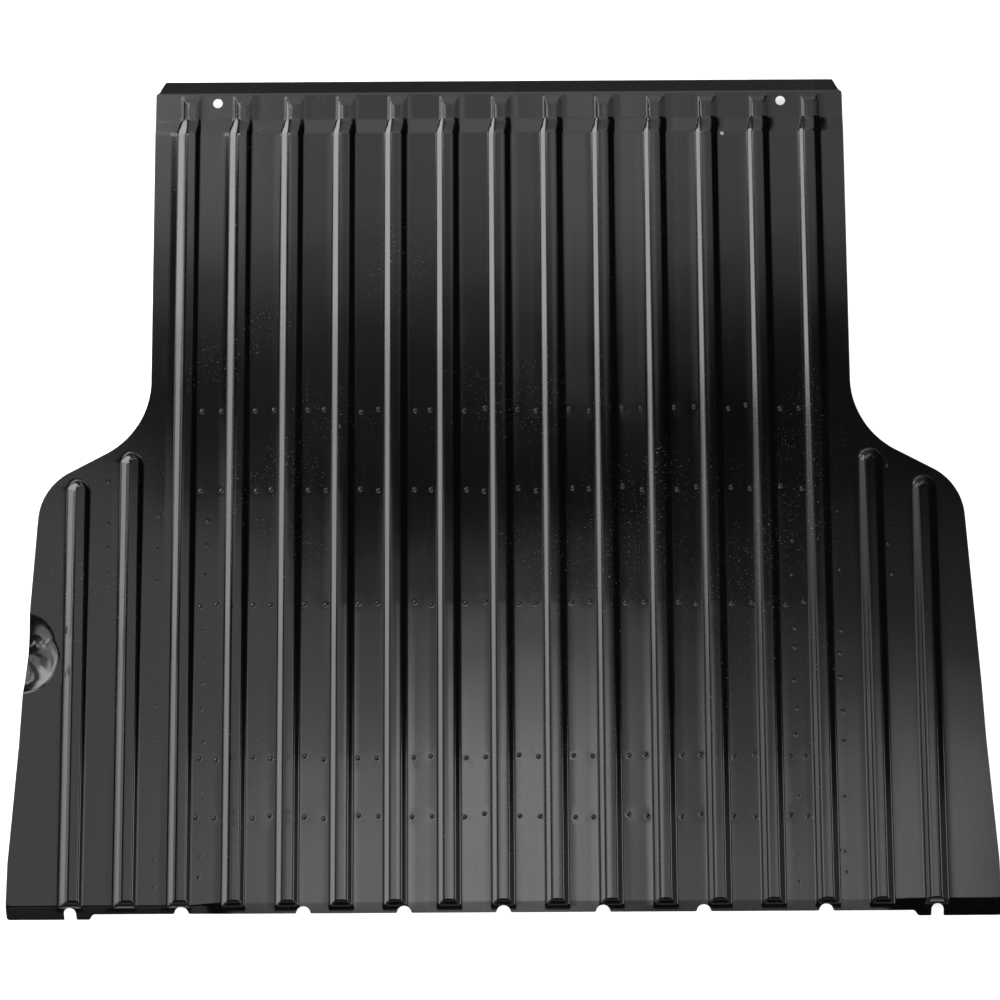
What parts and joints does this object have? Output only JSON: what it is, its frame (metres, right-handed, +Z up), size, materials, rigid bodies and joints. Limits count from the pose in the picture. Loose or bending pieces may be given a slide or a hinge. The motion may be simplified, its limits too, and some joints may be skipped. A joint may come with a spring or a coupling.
{
  "type": "pickup bed floor pan",
  "caption": "Ribbed steel floor of a pickup bed with wheel house cut-outs, notched rear edge, joggled front strip and welded sills with mount pads.",
  "frame": {"origin": "middle of the bounding box in plan, on the surface that the mount pads stand on", "axes": "+X to the truck's right-hand side, +Y to its front, +Z up, out of the cargo side of the floor"},
  "size_m": [1.473, 1.278, 0.0562],
  "materials": {
    "sheet": "thin glossy black electrocoat",
    "sill": "satin black electrocoat",
    "nut": "satin black electrocoat over steel"
  },
  "bodies": {
    "root": {"floor_panel": "sheet", "second_cross_sill": "sill", "third_cross_sill": "sill", "fourth_cross_sill": "sill", "long_sill_left_front": "sill", "long_sill_left_middle": "sill", "long_sill_left_rear": "sill", "long_sill_right_front": "sill", "long_sill_right_middle": "sill", "long_sill_right_rear": "sill", "wheel_house_bracket_left": "sill", "wheel_house_bracket_right": "sill", "mount_pad_left_front": "sill", "mount_pad_left_rear": "sill", "mount_pad_right_front": "sill", "mount_pad_right_rear": "sill", "weld_nut_left_front": "nut", "weld_nut_left_rear": "nut", "weld_nut_right_front": "nut", "weld_nut_right_rear": "nut"}
  },
  "joints": []
}
